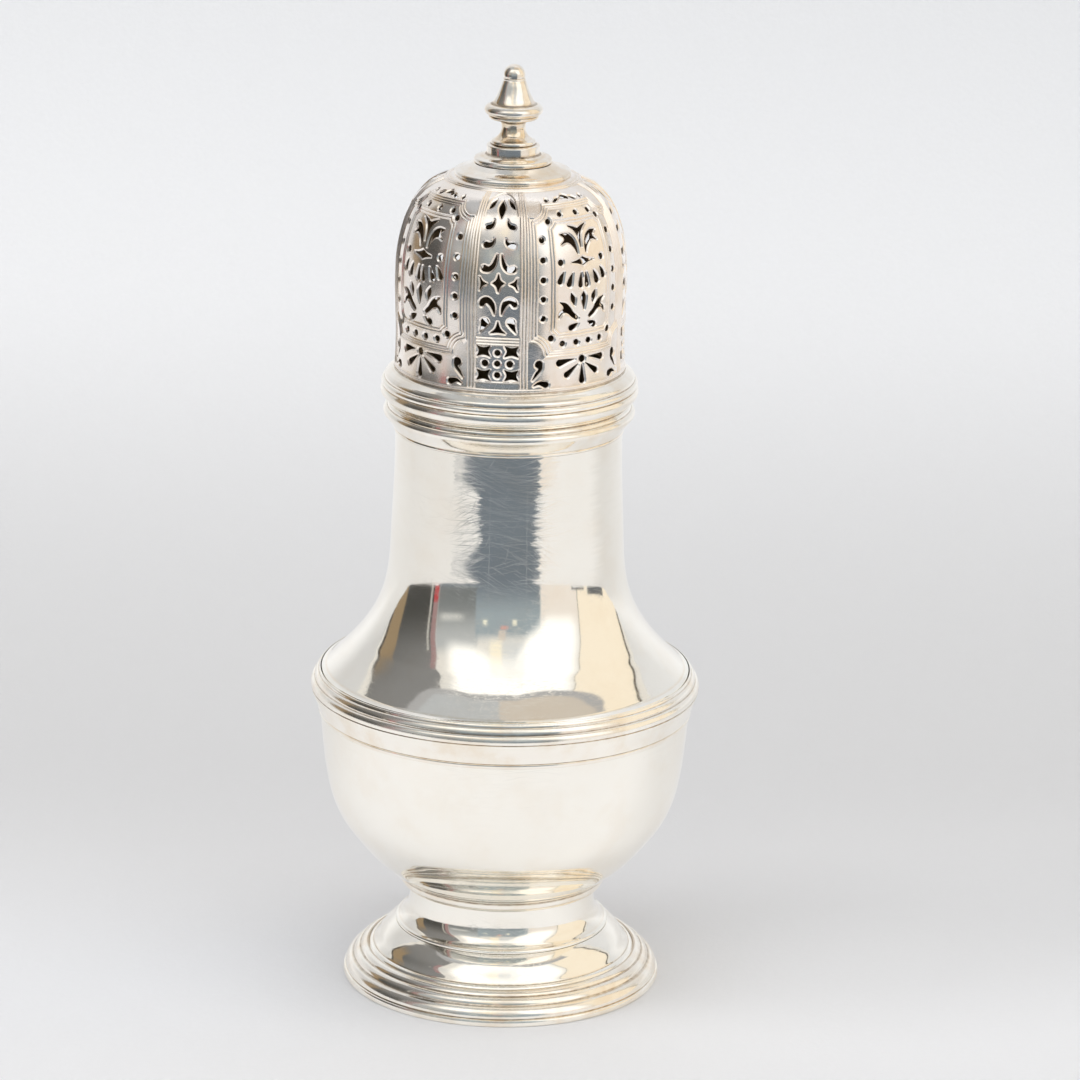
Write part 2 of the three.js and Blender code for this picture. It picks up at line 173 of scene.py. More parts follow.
def turned_piece(name, outline, body, node, material, closed=True, steps=TURN_STEPS, joins=()):
    """Spins an outline about the axis. A closed outline is a ring; an open one starts and ends on the axis.
    Shade is painted along the joins, which are [radius, height] points."""
    bm = bmesh.new()
    relief, inside, upright = (bm.verts.layers.float.new(name) for name in ("relief", "inside", "upright"))
    verts = []
    for i, ((r, z), value) in enumerate(zip(outline, relief_of(outline, closed))):
        v = bm.verts.new((r * MM, 0, z * MM))
        along = Vector(outline[min(i + 1, len(outline) - 1)]) - Vector(outline[max(i - 1, 0)])
        # painted shade: a point near a join gets the relief of the deepest groove, so it is darkened as if in
        # shadow
        shaded_join = any(math.dist((r, z), join) < JOIN_SHADE_REACH for join in joins)
        v[relief] = -1.0 if shaded_join else value
        # painted shade and tarnish on faces that run down the inside of a piece
        v[inside] = INSIDE_SHADE_AND_TARNISH if along.y < -1e-4 and r < WIDEST_INSIDE else 0.0
        v[upright] = max(0.0, along.y / max(along.length, 1e-9)) ** UPRIGHT_SHARPNESS
        verts.append(v)
    edges = [bm.edges.new(pair) for pair in zip(verts, verts[1:])]
    if closed:
        edges.append(bm.edges.new((verts[-1], verts[0])))
    bmesh.ops.spin(bm, geom=verts + edges, cent=(0, 0, 0), axis=(0, 0, 1), dvec=(0, 0, 0),
                   angle=math.tau, steps=steps, use_merge=True, use_duplicate=False)
    bmesh.ops.remove_doubles(bm, verts=bm.verts, dist=1e-7)
    bmesh.ops.dissolve_degenerate(bm, edges=bm.edges, dist=1e-8)
    bmesh.ops.recalc_face_normals(bm, faces=bm.faces)
    finished(name, bm, body, node, material)


# FINISHES
# Shared effects are node groups. They take a place on the piece in metres and work in millimetres.

IN_MM = 1000.0
MEAN_RADIUS = 22.0
# tones of tarnish, also used for painted shade in the joins and on the insides
WARM_TARNISH_AND_SHADE = (0.78, 0.6, 0.38, 1)
BLACK_TARNISH_AND_SHADE = (0.16, 0.105, 0.06, 1)

# Each run of scratches: its slant, its scale along and across, the least noise that shows, and its own shift
SCRATCH_RUNS = ((-0.42, 0.1, 7.5, 0.63, 1.0), (0.22, 0.12, 9.0, 0.64, 37.0),
                (-0.1, 0.08, 11.0, 0.63, 71.0), (1.2, 0.15, 7.0, 0.7, 113.0))
SCRATCH_EDGE = 0.12
SCRATCH_BEND = 9.0
LONG_SCRATCHES = (-3.15, 3.85)


def feed(tree, socket, value):
    """Links a socket's value on, or sets a plain one."""
    if isinstance(value, bpy.types.NodeSocket):
        tree.links.new(value, socket)
    else:
        socket.default_value = value


def node_of(tree, kind, *values, **settings):
    """A new node with its settings, and its first inputs fed in order."""
    node = tree.nodes.new("ShaderNode" + kind)
    for name, value in settings.items():
        setattr(node, name, value)
    for socket, value in zip(node.inputs, values):
        feed(tree, socket, value)
    return node


def maths(tree, operation, *values, clamp=False):
    return node_of(tree, "Math", *values, operation=operation, use_clamp=clamp).outputs[0]


def times(tree, first, second, clamp=False):
    return maths(tree, "MULTIPLY", first, second, clamp=clamp)


def plus(tree, first, second, clamp=False):
    return maths(tree, "ADD", first, second, clamp=clamp)


def less(tree, first, second):
    return maths(tree, "SUBTRACT", first, second)


def vectors(tree, operation, *values, scale=None):
    node = node_of(tree, "VectorMath", *values, operation=operation)
    if scale is not None:
        feed(tree, node.inputs["Scale"], scale)
    return node.outputs["Vector"]


def noise_of(tree, place, scale, detail=2.0, roughness=0.5):
    node = node_of(tree, "TexNoise")
    for name, value in (("Vector", place), ("Scale", scale), ("Detail", detail), ("Roughness", roughness)):
        feed(tree, node.inputs[name], value)
    return node.outputs["Fac"]


def eased(tree, value, low, high, to_low=0.0, to_high=1.0, run="SMOOTHSTEP"):
    """The value run smoothly from one range to another."""
    node = node_of(tree, "MapRange", value, low, high, to_low, to_high, interpolation_type=run)
    return node.outputs["Result"]


def mixed(tree, share, first, second):
    node = node_of(tree, "Mix", data_type="RGBA")
    for socket, value in zip((node.inputs[0], node.inputs[6], node.inputs[7]), (share, first, second)):
        feed(tree, socket, value)
    return node.outputs[2]


def split(tree, vector):
    return tuple(node_of(tree, "SeparateXYZ", vector).outputs)


def merged(tree, x, y, z):
    return node_of(tree, "CombineXYZ", x, y, z).outputs[0]


def scaled(tree, *parts):
    """A vector of three values, each times its own scale."""
    return merged(tree, *(times(tree, value, scale) for value, scale in parts))


def effect(name, inputs, outputs):
    """A new node group, and what it is given and puts out by name. Place and Normal are vectors."""
    tree = bpy.data.node_groups.new(name, "ShaderNodeTree")
    for way, labels in (("INPUT", inputs), ("OUTPUT", outputs)):
        for label in labels:
            kind = "NodeSocketVector" if label in ("Place", "Normal") else "NodeSocketFloat"
            tree.interface.new_socket(label, in_out=way, socket_type=kind)
    return tree, tree.nodes.new("NodeGroupInput").outputs, tree.nodes.new("NodeGroupOutput").inputs


def round_the_axis(tree, place):
    """Millimetres round the piece from its front, up it, and out from its axis."""
    x, y, z = split(tree, vectors(tree, "SCALE", place, scale=IN_MM))
    radius = maths(tree, "SQRT", plus(tree, times(tree, x, x), times(tree, y, y)))
    angle = maths(tree, "ARCTAN2", x, times(tree, y, -1.0))
    return times(tree, angle, MEAN_RADIUS), z, radius


def scratches_effect():
    """Fine curved lines left by years of polishing, in a few directions, and two long lines down the neck."""
    tree, given, result = effect("polishing scratches", ("Place", "Amount"), ("Mask",))
    turn, up, out = round_the_axis(tree, given["Place"])
    slow = noise_of(tree, merged(tree, times(tree, turn, 0.06), times(tree, up, 0.06), 3.0), 1.0, 0.0)
    bent_up = plus(tree, up, times(tree, less(tree, slow, 0.5), SCRATCH_BEND))
    total = None
    for slant, along, across, least, shift in SCRATCH_RUNS:
        c, n = math.cos(slant), math.sin(slant)
        lengthwise = plus(tree, times(tree, turn, c * along), times(tree, up, n * along))
        sideways = less(tree, times(tree, bent_up, c * across), times(tree, turn, n * across))
        inwards = plus(tree, times(tree, out, c * across), shift)
        streaks = noise_of(tree, merged(tree, lengthwise, sideways, inwards), 1.0, 0.0)
        line = eased(tree, streaks, least, least + SCRATCH_EDGE)
        total = line if total is None else maths(tree, "MAXIMUM", total, line)
    # fainter away from the front
    total = times(tree, total, eased(tree, maths(tree, "ABSOLUTE", turn), 6.0, 11.0, 1.0, 0.4))
    for at in LONG_SCRATCHES:
        near = maths(tree, "ABSOLUTE", less(tree, turn, at))
        high = times(tree, eased(tree, up, 76, 80), eased(tree, up, 104, 100))
        total = maths(tree, "MAXIMUM", total, times(tree, eased(tree, near, 0.16, 0.05, 0.0, 0.8), high))
    feed(tree, result["Mask"], times(tree, total, given["Amount"], clamp=True))
    return tree


def turning_effect():
    """The unevenness of a raised and turned wall, which frays the edges of what it mirrors."""
    tree, given, result = effect("turned wall", ("Place", "Normal", "Upright", "Chatter", "Waver"), ("Normal",))
    x, y, z = split(tree, vectors(tree, "SCALE", given["Place"], scale=IN_MM))
    turn, up, out = round_the_axis(tree, given["Place"])
    inverse = maths(tree, "DIVIDE", 1.0, maths(tree, "MAXIMUM", out, 0.5))
    sideways = merged(tree, times(tree, times(tree, y, -1.0), inverse), times(tree, x, inverse), 0.0)
    # rows of tool marks on upright walls
    rows = noise_of(tree, scaled(tree, (turn, 0.1), (up, 1.6), (out, 1.6)), 1.0, 2.0, 0.6)
    held = plus(tree, eased(tree, given["Upright"], 0.93, 0.99), 0.04)
    chatter = times(tree, times(tree, less(tree, rows, 0.5), held), given["Chatter"])
    # and the slow waver of the hammer everywhere
    slow = noise_of(tree, scaled(tree, (x, 0.07), (y, 0.07), (z, 0.09)), 1.0, 1.0)
    waver = times(tree, less(tree, slow, 0.5), given["Waver"])
    shift = vectors(tree, "SCALE", sideways, scale=plus(tree, chatter, waver))
    lift = merged(tree, 0.0, 0.0, times(tree, waver, 0.6))
    bent = vectors(tree, "ADD", vectors(tree, "ADD", given["Normal"], shift), lift)
    feed(tree, result["Normal"], vectors(tree, "NORMALIZE", bent))
    return tree


def tarnish_and_shade_effect():
    """Tarnish and painted shade: tarnish in grooves and in faint clouds elsewhere, painted shade along the
    joins, and painted shade with tarnish on the insides, where no cloth reaches.
    """
    tree, given, result = effect(
        "tarnish", ("Place", "Relief", "Inside", "Grooves", "Clouds"), ("Warm", "Dark", "Worn"))
    place = vectors(tree, "SCALE", given["Place"], scale=IN_MM)
    cloud = eased(tree, noise_of(tree, place, 0.11, 4.0, 0.62), 0.42, 0.72)
    mottle = eased(tree, noise_of(tree, place, 0.9, 3.0, 0.6), 0.3, 0.75)
    low = eased(tree, given["Relief"], -0.06, -0.75)
    held = times(tree, times(tree, low, given["Grooves"]), plus(tree, times(tree, mottle, 0.55), 0.45))
    warm = plus(tree, times(tree, cloud, given["Clouds"]), times(tree, held, 0.6))
    # the insides add painted shade and tarnish, warm here and dark below
    feed(tree, result["Warm"], plus(tree, warm, times(tree, given["Inside"], 0.8), clamp=True))
    deep = times(tree, eased(tree, given["Relief"], -0.6, -1.0), held)
    feed(tree, result["Worn"], eased(tree, given["Relief"], 0.25, 0.75))
    feed(tree, result["Dark"], plus(tree, deep, times(tree, given["Inside"], 0.75), clamp=True))
    return tree


def placed(tree, group, **values):
    """A group set in a material, with its inputs fed by name."""
    node = node_of(tree, "Group", node_tree=group)
    for name, value in values.items():
        feed(tree, node.inputs[name], value)
    return node.outputs


scratch_group, turning_group, tarnish_and_shade_group = scratches_effect(), turning_effect(), tarnish_and_shade_effect()


def attribute(tree, name):
    return node_of(tree, "Attribute", attribute_name=name).outputs["Fac"]


def material_of(name):
    """A new material, with its tree, its shader and the place on the piece."""
    material = bpy.data.materials.new(name)
    material.use_nodes = True
    tree = material.node_tree
    return material, tree, tree.nodes["Principled BSDF"], node_of(tree, "TexCoord").outputs["Object"]


def bumped(tree, height, strength, distance, invert=False):
    """The normal over a small relief, whose depth is in metres."""
    bump = node_of(tree, "Bump", invert=invert)
    for name, value in (("Strength", strength), ("Distance", distance), ("Height", height)):
        feed(tree, bump.inputs[name], value)
    return bump.outputs[0]


def silver(name, tint, gloss, scratching, chatter, waver, grooves, clouds, wear=0.05):
    """Silver with its polish, scratches, unevenness, tarnish and painted shade."""
    material, tree, shader, place = material_of(name)
    shader.inputs["Metallic"].default_value = 1
    scratch = placed(tree, scratch_group, Place=place, Amount=scratching)["Mask"]
    stain_and_shade = placed(tree, tarnish_and_shade_group, Place=place, Relief=attribute(tree, "relief"),
                   Inside=attribute(tree, "inside"), Grooves=grooves, Clouds=clouds)
    # tarnish and painted shade: warm and near-black tones mixed into the silver's colour
    colour = mixed(tree, stain_and_shade["Warm"], (*tint, 1), WARM_TARNISH_AND_SHADE)
    feed(tree, shader.inputs["Base Color"], mixed(tree, stain_and_shade["Dark"], colour, BLACK_TARNISH_AND_SHADE))
    dull = plus(tree, times(tree, scratch, 0.26), times(tree, stain_and_shade["Dark"], 0.28))
    dull = plus(tree, dull, times(tree, stain_and_shade["Worn"], wear))
    feed(tree, shader.inputs["Roughness"], plus(tree, dull, gloss))
    wall = placed(tree, turning_group, Place=place, Normal=bumped(tree, scratch, 0.015, 0.00001, invert=True),
                  Upright=attribute(tree, "upright"), Chatter=chatter, Waver=waver)
    feed(tree, shader.inputs["Normal"], wall["Normal"])
    return material


polished = silver("polished silver", (0.988, 0.957, 0.888), gloss=0.05, scratching=0.8, chatter=0.17,
                  waver=0.03, grooves=0.6, clouds=0.1)
pierced = silver("pierced silver", (0.985, 0.925, 0.87), gloss=0.175, scratching=0.4, chatter=0.03,
                 waver=0.11, grooves=0.75, clouds=0.3, wear=0.2)
moulded = silver("moulded silver", (0.988, 0.948, 0.875), gloss=0.085, scratching=0.2, chatter=0.01,
                 waver=0.02, grooves=0.6, clouds=0.35, wear=0.1)
cast = silver("cast silver", (0.97, 0.93, 0.865), gloss=0.1, scratching=0.4, chatter=0.02,
              waver=0.12, grooves=0.9, clouds=0.6)
inner = silver("inside silver", (0.82, 0.75, 0.64), gloss=0.28, scratching=0.5, chatter=0.03,
               waver=0.02, grooves=1.0, clouds=0.6)

# FOOT

foot_wire = joined(
    [(25.2, 0.0), (29.6, 0.0)], bead((29.75, 0.1), (29.75, 1.2), 0.15, 6),
    [(29.42, 1.35)], bead((29.5, 1.5), (28.62, 3.22), 0.25, 10), [(28.3, 3.3), (27.95, 3.6)],
    bead((27.9, 3.72), (26.85, 4.75), 0.2), [(26.65, 4.78)], bead((26.6, 4.9), (25.35, 5.68), 0.2),
    [(25.11, 5.62), (25.11, 5.3), (25.2, 5.1)])
turned_piece("foot_wire", foot_wire, "vessel", "foot_rim", moulded,
             joins=[(28.12, 3.45), (26.65, 4.8), (29.42, 1.35)])

foot_line = joined(
    [(25.08, 1.2), (25.08, 5.55)],
    bead((25.0, 5.6), (24.35, 6.12), 0.1, 6), [(24.22, 6.14)],
    flowing([(24.15, 6.28), (23.5, 7.05), (22.7, 8.2), (21.8, 9.2), (20.9, 10.0), (20.25, 10.5)], 6),
    [(20.1, 10.6), (16.6, 10.6)])
raised = joined(foot_line[:-1], [(16.6, 10.6), (16.6, 9.85)], inner_face(foot_line[:-1], 0.75)[1:])
turned_piece("raised_foot", raised, "vessel", "foot_dome", polished)

stem_line = joined(
    bead((20.0, 10.65), (19.85, 11.25), 0.15, 6),
    flowing([(19.55, 11.35), (18.9, 11.9), (18.1, 12.9), (17.6, 14.2), (17.36, 16), (17.3, 17.6),
             (17.3, 19.7)]))
stem = joined(stem_line, [(16.5, 19.7)], inner_face(stem_line, 0.75)[1:-3], [(18.4, 10.62)])
turned_piece("stem", stem, "vessel", "foot_stem", polished)

collar = joined(
    [(17.45, 18.6), (18.8, 18.6)], bead((18.95, 18.65), (19.4, 20.1), 0.16), [(19.5, 20.3)],
    bead((19.6, 20.4), (20.25, 21.0), 0.08, 6), [(18.3, 19.6), (17.45, 19.55)])
turned_piece("collar_bead", collar, "vessel", "collar", moulded,
             joins=[(18.8, 18.6), (19.5, 20.3)])

# BODY

bowl_line = joined([(18.2, 19.7), (20.2, 21.0)], bead((20.28, 21.08), (21.5, 22.05), 0.16), flowing([
    (21.55, 22.0), (23.2, 23.3), (24.85, 24.85), (26.45, 26.65), (28.1, 28.7), (29.55, 30.6), (30.75, 32.5),
    (31.7, 34.5), (32.4, 36.5), (32.9, 38.5), (33.3, 40.7), (33.65, 42.9), (33.9, 45.2), (34.15, 47.7),
    (34.35, 50.2), (34.45, 53.0), (34.5, 57.0)], 5))
bowl = joined([(0, 19.7)], bowl_line, inner_face(bowl_line[10:], 0.8)[:-1], [(17.5, 20.5), (0, 20.5)])
turned_piece("bowl_shell", bowl, "vessel", "bowl", polished, closed=False)

girdle = joined(
    [(34.62, 52.45), (34.66, 52.25)], bead((34.72, 52.28), (34.9, 52.95), 0.1, 6), [(34.68, 53.08)],
    flowing([(34.98, 53.25), (35.3, 54.4), (35.7, 55.5), (36.05, 56.5), (36.22, 57.05)], 5), [(36.12, 57.16)],
    bead((36.22, 57.25), (35.95, 58.7), 0.2, 10), [(35.62, 58.85)],
    bead((35.6, 58.95), (35.1, 60.05), 0.14), [(34.88, 60.15)],
    bead((34.85, 60.22), (34.66, 60.65), 0.05, 4), [(34.53, 60.68), (34.53, 60.4), (34.62, 60.25)])
turned_piece("girdle_moulding", girdle, "vessel", "girdle", moulded,
             joins=[(34.66, 52.2), (34.68, 53.08), (36.12, 57.16)])

neck_line = joined(
    [(34.5, 57.0), (34.5, 60.4), (34.3, 60.75)],
    flowing([(33.5, 61.1), (31.8, 62.7), (30.0, 64.5), (28.5, 66.2), (27.2, 67.8), (25.1, 71), (23.66, 74),
             (22.7, 76.9), (22.14, 79.7), (21.83, 82.4), (21.68, 85), (21.47, 90), (21.23, 95), (21.04, 100),
             (21.0, 104), (21.0, 108), (21.0, 112.2)], 6),
    [(20.9, 112.4)])
neck = joined(neck_line, [(20.3, 112.4)], inner_face(neck_line, 0.8)[2:-2], [(33.7, 57.0)])
turned_piece("neck_shell", neck, "vessel", "neck", polished)

neck_rim = joined(
    [(21.12, 106.9)], bead((21.15, 106.92), (21.25, 107.35), 0.08, 4), [(21.22, 107.45)],
    flowing([(21.3, 107.5), (21.8, 108.3), (22.45, 109.2), (23.0, 109.9)], 5),
    bead((23.08, 110.0), (22.85, 111.25), 0.22), [(22.5, 111.4)],
    bead((22.45, 111.5), (22.15, 112.1), 0.1, 5), [(21.95, 112.3), (21.7, 112.4), (21.12, 112.4)])
turned_piece("mouth_moulding", neck_rim, "vessel", "neck_rim", moulded,
             joins=[(21.12, 106.9), (22.25, 112.4)])

# COVER

sleeve = joined([(19.65, 98.4), (19.95, 99.0), (19.95, 118.3), (19.15, 118.3), (19.15, 98.4)])
turned_piece("sleeve", sleeve, "cover", "cover_sleeve", inner)

cover_rim = joined(
    [(20.07, 112.4), (21.9, 112.4), (22.15, 112.42)], flowing([(22.4, 112.6), (23.0, 113.1), (23.5, 113.7)], 4),
    bead((23.6, 113.85), (23.5, 115.3), 0.2), [(23.25, 115.42)],
    bead((23.4, 115.5), (23.3, 116.6), 0.25, 7), [(23.0, 116.72)],
    bead((23.0, 116.8), (22.75, 117.6), 0.12, 6), [(22.6, 117.75)],
    flowing([(22.55, 117.8), (22.0, 118.2), (21.5, 118.55), (21.25, 118.88)], 4), [(20.07, 118.9)])
turned_piece("reeded_rim", cover_rim, "cover", "cover_rim", moulded,
             joins=[(21.9, 112.4), (22.15, 112.45), (21.25, 118.88)])

# THE PIERCED DOME
# The piercing is drawn flat: u millimetres round from the middle of a panel, v up along the skin.
# Cuts are filed a little wider and chamfered, and each cut line is a low ridge between two grooves.

SKIN_RADIUS = 21.15
NARROW_HALF = 5.66
WIDE_HALF = SKIN_RADIUS * math.pi / 4 - NARROW_HALF
NARROW_FACES = math.radians(-5.9)
SKIN_WALL = 0.62
FILED = 0.08
CHAMFER = 0.32
CHAMFER_DEPTH = 0.2
LINE_HALF = 0.23
LINE_HEIGHT = 0.16
LINE_GROOVE = 0.65
CUT_SPACING = 0.2
SWAY = 0.075
RING_LINES = (0.3, 0.6, 38.8, 39.3)
FIRST_ROW, LAST_ROW = 1.2, 38.5
CROWN_ROWS = (40.4, 42.0, 45.0)
FINE_GRID, COARSE_GRID = 0.7, 2.2

dome_line = flowing([
    (21.15, 118.9), (21.0, 121.2), (20.93, 124), (20.92, 126), (20.97, 128.4), (21.05, 130.8), (21.12, 133),
    (21.15, 135.4), (21.1, 137.6), (20.97, 139.9), (20.68, 142.1), (20.22, 144.3), (19.57, 146.5),
    (18.66, 148.7), (17.32, 150.8), (15.35, 152.7), (12.9, 153.95), (10.5, 154.8), (6, 155.95),
    (1.62, 156.4)], 8)
skin = np.array(dome_line)
skin_steps = np.hypot(*np.diff(skin, axis=0).T)
skin_v = np.concatenate([[0], np.cumsum(skin_steps)])
TOP_V = float(skin_v[-1])
# The sway of the hand is the same on every run
noise.seed_set(7)


def on_dome(flat, middle):
    """Places points [u, v, out] on the dome, with a slight unevenness of the hand."""
    u, v, out = flat.T
    angle = middle + u / SKIN_RADIUS
    sway = np.array([noise.noise_vector((math.sin(a) * 6, math.cos(a) * 6, h * 0.35))
                     for a, h in zip(angle, v)])
    # none of it at the foot and the crown, where the lines run round
    calm = np.clip(np.minimum(v - 1.5, 38 - v) / 2, 0, 1)
    angle = angle + sway[:, 0] * calm * SWAY / SKIN_RADIUS
    v = v + sway[:, 1] * calm * SWAY
    r = np.interp(v, skin_v, skin[:, 0])
    z = np.interp(v, skin_v, skin[:, 1])
    rise = np.interp(v, skin_v[:-1] + skin_steps / 2, np.arctan2(np.diff(skin[:, 0]), np.diff(skin[:, 1])))
    r = np.maximum(r + np.cos(rise) * out, 0.5)
    z = z - np.sin(rise) * out
    return np.stack([r * np.sin(angle), -r * np.cos(angle), z], axis=1) * MM


def evened(line, spacing):
    """The same line with points at even spacing."""
    pts = np.array(line)
    run = np.concatenate([[0], np.cumsum(np.linalg.norm(np.diff(pts, axis=0), axis=1))])
    count = max(2, round(run[-1] / spacing))
    at = np.linspace(0, run[-1], count + 1)
    return [tuple(float(np.interp(a, run, pts[:, k])) for k in range(pts.shape[1])) for a in at]


def leaf(path):
    """A cut that follows points [u, v, half width]. An end without width is a point, any other is round."""
    spine = evened(flowing(path, 8), CUT_SPACING)
    left, right = [], []
    for i, (u, v, half) in enumerate(spine):
        a, b = spine[max(i - 1, 0)], spine[min(i + 1, len(spine) - 1)]
        side = Vector((a[1] - b[1], b[0] - a[0])).normalized() * max(half, 0)
        left.append((u + side.x, v + side.y))
        right.append((u - side.x, v - side.y))
    ring = []
    for line, way, end in ((left, 1, right), (right[::-1], -1, left[::-1])):
        ring += line[1:-1]
        u, v, half = spine[-1] if way == 1 else spine[0]
        if half < 0.02:
            ring.append((u, v))
            continue
        start = math.atan2(line[-1][1] - v, line[-1][0] - u)
        parts = max(4, round(math.pi * half / CUT_SPACING))
        for k in range(parts + 1):
            angle = start - math.pi * k / parts
            ring.append((u + half * math.cos(angle), v + half * math.sin(angle)))
    return ring


def cut(points):
    """A cut round [u, v] points, smooth but for the corners, which have a third entry."""
    first = next(i for i, p in enumerate(points) if len(p) == 3)
    turned_round = points[first:] + points[:first + 1]
    ring, run = [], []
    for p in turned_round:
        run.append(tuple(p[:2]))
        if len(p) == 3 and len(run) > 1:
            ring += evened(flowing(run, 8), CUT_SPACING)[:-1]
            run = [tuple(p[:2])]
    return ring


def dot(u, v, radius):
    parts = max(12, round(math.tau * radius / CUT_SPACING))
    return [(u + radius * math.cos(math.tau * k / parts), v + radius * math.sin(math.tau * k / parts))
            for k in range(parts)]


def star(u, v, wide, high, waist, in_corners=False):
    """A star of four points with hollow sides, upright or with its points in the corners."""
    tips = [(wide, high), (-wide, high), (-wide, -high), (wide, -high)] if in_corners else \
        [(wide, 0), (0, high), (-wide, 0), (0, -high)]
    points = []
    for (a, b), (c, d) in zip(tips, tips[1:] + tips[:1]):
        points += [(u + a, v + b, 1), (u + (a + c) / 2 * waist, v + (b + d) / 2 * waist)]
    return cut(points)


def mirrored(ring):
    return [ring, [(-u, v) for u, v in ring]]


def both_leaves(*path):
    return mirrored(leaf(path))


def both_dots(u, v, radius):
    return mirrored(dot(u, v, radius))


def narrow_cuts():
    """The square of rosettes at the foot of a narrow panel, and the column of scrolls and leaves above it."""
    cuts = [dot(0, 5.5, 0.5), *both_dots(2.3, 5.5, 0.56), dot(0, 7.5, 0.5), dot(0, 3.4, 0.5)]
    for v in (3.35, 7.75):
        cuts += mirrored(star(2.6, v, 1.22, 0.95, 0.68, True))
    cuts.append(cut([(-1.3, 11.15, 1), (0, 11.3), (1.3, 11.15, 1), (0.45, 12.0), (0, 13.3, 1), (-0.45, 12.0)]))
    cuts += both_leaves((3.3, 11.3, 0), (2.75, 12.3, 0.35), (2.4, 13.2, 0.7))
    cuts += both_leaves((0.65, 14.7, 0), (0.85, 15.7, 0.25), (1.25, 16.6, 0.42), (2.0, 17.25, 0.5),
                        (2.75, 17.0, 0.5), (3.0, 16.5, 0.42))
    cuts.append(star(0, 20.4, 1.05, 1.6, 0.7))
    cuts += mirrored(cut([(3.45, 21.35, 1), (2.95, 20.65), (2.15, 20.25, 1), (2.95, 19.85), (3.45, 19.15, 1),
                          (3.25, 20.25)]))
    cuts += both_leaves((0.45, 25.6, 0), (0.7, 24.5, 0.2), (1.15, 23.4, 0.32), (1.9, 22.85, 0.42),
                        (2.65, 22.95, 0.55))
    cuts += both_leaves((1.15, 28.4, 0), (1.3, 27.8, 0.18), (1.9, 27.3, 0.36), (2.65, 27.25, 0.52))
    cuts += both_leaves((1.45, 31.9, 0), (1.6, 31.2, 0.2), (2.1, 30.65, 0.36), (2.7, 30.5, 0.36))
    cuts += both_leaves((3.1, 34.1, 0), (2.4, 35.1, 0.42), (1.6, 36.4, 0))
    cuts.append(leaf([(0, 36.0, 0), (0, 34.2, 0.75), (0, 32.3, 0)]))
    return cuts


def wide_cuts():
    """The fan, the dotted border and the three heads of foliage of a wide panel."""
    cuts = [dot(0, 5.65, 0.6), leaf([(0, 4.5, 0), (0, 3.0, 0.28), (0, 1.65, 0.55)])]
    cuts += both_leaves((0.95, 4.75, 0), (2.2, 3.85, 0.28), (3.4, 3.0, 0.5))
    cuts += both_leaves((1.75, 5.8, 0), (3.4, 5.6, 0.28), (4.9, 5.3, 0.58))
    cuts += both_leaves((10.1, 2.5, 0), (9.3, 3.6, 0.22), (8.6, 4.5, 0.3), (8.9, 5.3, 0.7))
    cuts += both_leaves((9.9, 1.4, 0), (8.8, 1.85, 0.25), (7.6, 1.55, 0.52))
    cuts += both_dots(1.45, 8.9, 0.48) + both_dots(4.4, 8.9, 0.48) + both_dots(6.7, 10.1, 0.52)
    for v in (13.8, 17.4, 20.9, 24.5, 28.2):
        cuts += both_dots(8.35, v, 0.48)
    cuts += both_dots(6.6, 31.5, 0.5) + [dot(u, 32.8, 0.45) for u in (-3.4, 0.9, 4.8)]
    cuts.append(cut([(-2.2, 30.4, 1), (-1, 30.1), (0, 29.75), (1, 30.1), (2.2, 30.4, 1), (1, 29.5), (0.4, 28.6),
                     (0.15, 27.5), (0, 26.3, 1), (-0.15, 27.5), (-0.4, 28.6), (-1, 29.5)]))
    cuts += mirrored(cut([(1.0, 25.2, 1), (1.05, 26.4), (1.4, 27.6), (2.2, 28.6), (3.2, 29.05), (4.4, 28.95, 1),
                          (3.5, 28.1), (4.3, 27.1, 1), (3.4, 27.45), (2.6, 27.3), (1.9, 26.7), (1.35, 26.0)]))
    cuts.append(cut([(2.45, 23.7, 1), (1, 24.0), (0, 24.45, 1), (-1, 24.0), (-2.45, 23.7, 1), (-1, 23.4),
                     (0, 23.0, 1), (1, 23.4)]))
    cuts += both_dots(4.8, 23.85, 0.5)
    cuts += both_leaves((0.55, 21.6, 0), (0.62, 20.6, 0.24), (0.7, 19.4, 0.42))
    cuts += both_leaves((2.5, 21.7, 0), (2.9, 20.8, 0.3), (3.2, 19.8, 0.48))
    cuts += both_leaves((4.3, 22.1, 0), (4.8, 21.3, 0.3), (5.1, 20.4, 0.45))
    cuts.append(leaf([(0, 18.1, 0), (0, 17.1, 0.48), (0, 14.9, 0)]))
    cuts += both_leaves((2.8, 18.1, 0), (2.4, 17.0, 0.42), (2.15, 15.9, 0))
    cuts += mirrored(cut([(5.1, 16.6, 1), (3.9, 16.3), (3.0, 15.5), (2.3, 14.5), (1.3, 13.5), (1.6, 13.15, 1),
                          (2.6, 13.75), (3.5, 14.5), (4.5, 14.6), (5.3, 13.8, 1), (5.2, 14.6), (4.35, 15.3),
                          (4.5, 16.0)]))
    cuts += both_leaves((1.25, 12.4, 0), (1.9, 12.05, 0.35), (2.6, 11.7, 0.5))
    cuts.append(leaf([(-1.2, 36.2, 0), (0, 36.7, 0.42), (1.3, 36.3, 0.3)]))
    cuts += both_leaves((1.9, 36.4, 0), (2.7, 36.0, 0.25), (3.6, 35.6, 0))
    cuts += both_dots(5.5, 36, 0.35)
    return cuts


